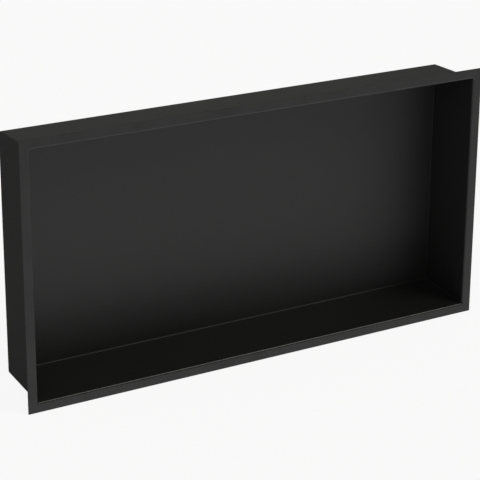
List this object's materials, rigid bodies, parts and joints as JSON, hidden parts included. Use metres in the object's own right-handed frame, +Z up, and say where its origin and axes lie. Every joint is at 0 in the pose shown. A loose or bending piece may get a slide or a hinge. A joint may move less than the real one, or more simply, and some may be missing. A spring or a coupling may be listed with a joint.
{
  "type": "shower niche insert",
  "caption": "Open-fronted rectangular shower niche folded from black-coated sheet steel, with a narrow flange round its mouth that lies on the wall and covers the cut edge of the tiles.",
  "frame": {"origin": "middle of the mouth, on the plane of the flange's rear face, which lies on the finished wall", "axes": "+X along the niche, to the right as seen from the room; +Y into the wall; +Z up"},
  "size_m": [0.622, 0.08, 0.322],
  "materials": {
    "black_coat": "satin black coating with a fine, short grain on sheet steel"
  },
  "bodies": {
    "root": {"niche_body": "black_coat"}
  },
  "joints": []
}
